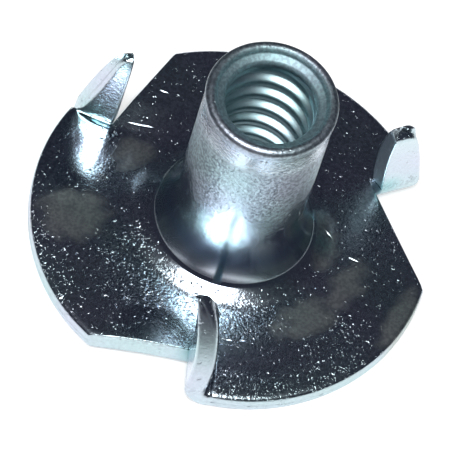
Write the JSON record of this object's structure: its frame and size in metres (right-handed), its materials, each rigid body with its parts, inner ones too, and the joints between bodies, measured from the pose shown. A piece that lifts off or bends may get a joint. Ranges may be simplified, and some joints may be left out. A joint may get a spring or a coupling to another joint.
{
  "type": "tee nut",
  "caption": "Pronged tee nut with a round flange and a drawn, internally threaded barrel that ends in a rolled lip; it is driven into a hole in timber to give a bolt a metal thread.",
  "frame": {"origin": "centre of the flange's underside, on the barrel's axis", "axes": "+Z along the barrel's axis, from the flange towards the lip; +X through the corner of the first notch"},
  "size_m": [0.0175, 0.0174, 0.0112],
  "materials": {
    "bright_zinc_steel": "bright zinc plate on drawn mild steel, polished on the drawn barrel and lightly pitted on the flange"
  },
  "bodies": {
    "root": {"tee_nut": "bright_zinc_steel"}
  },
  "joints": []
}
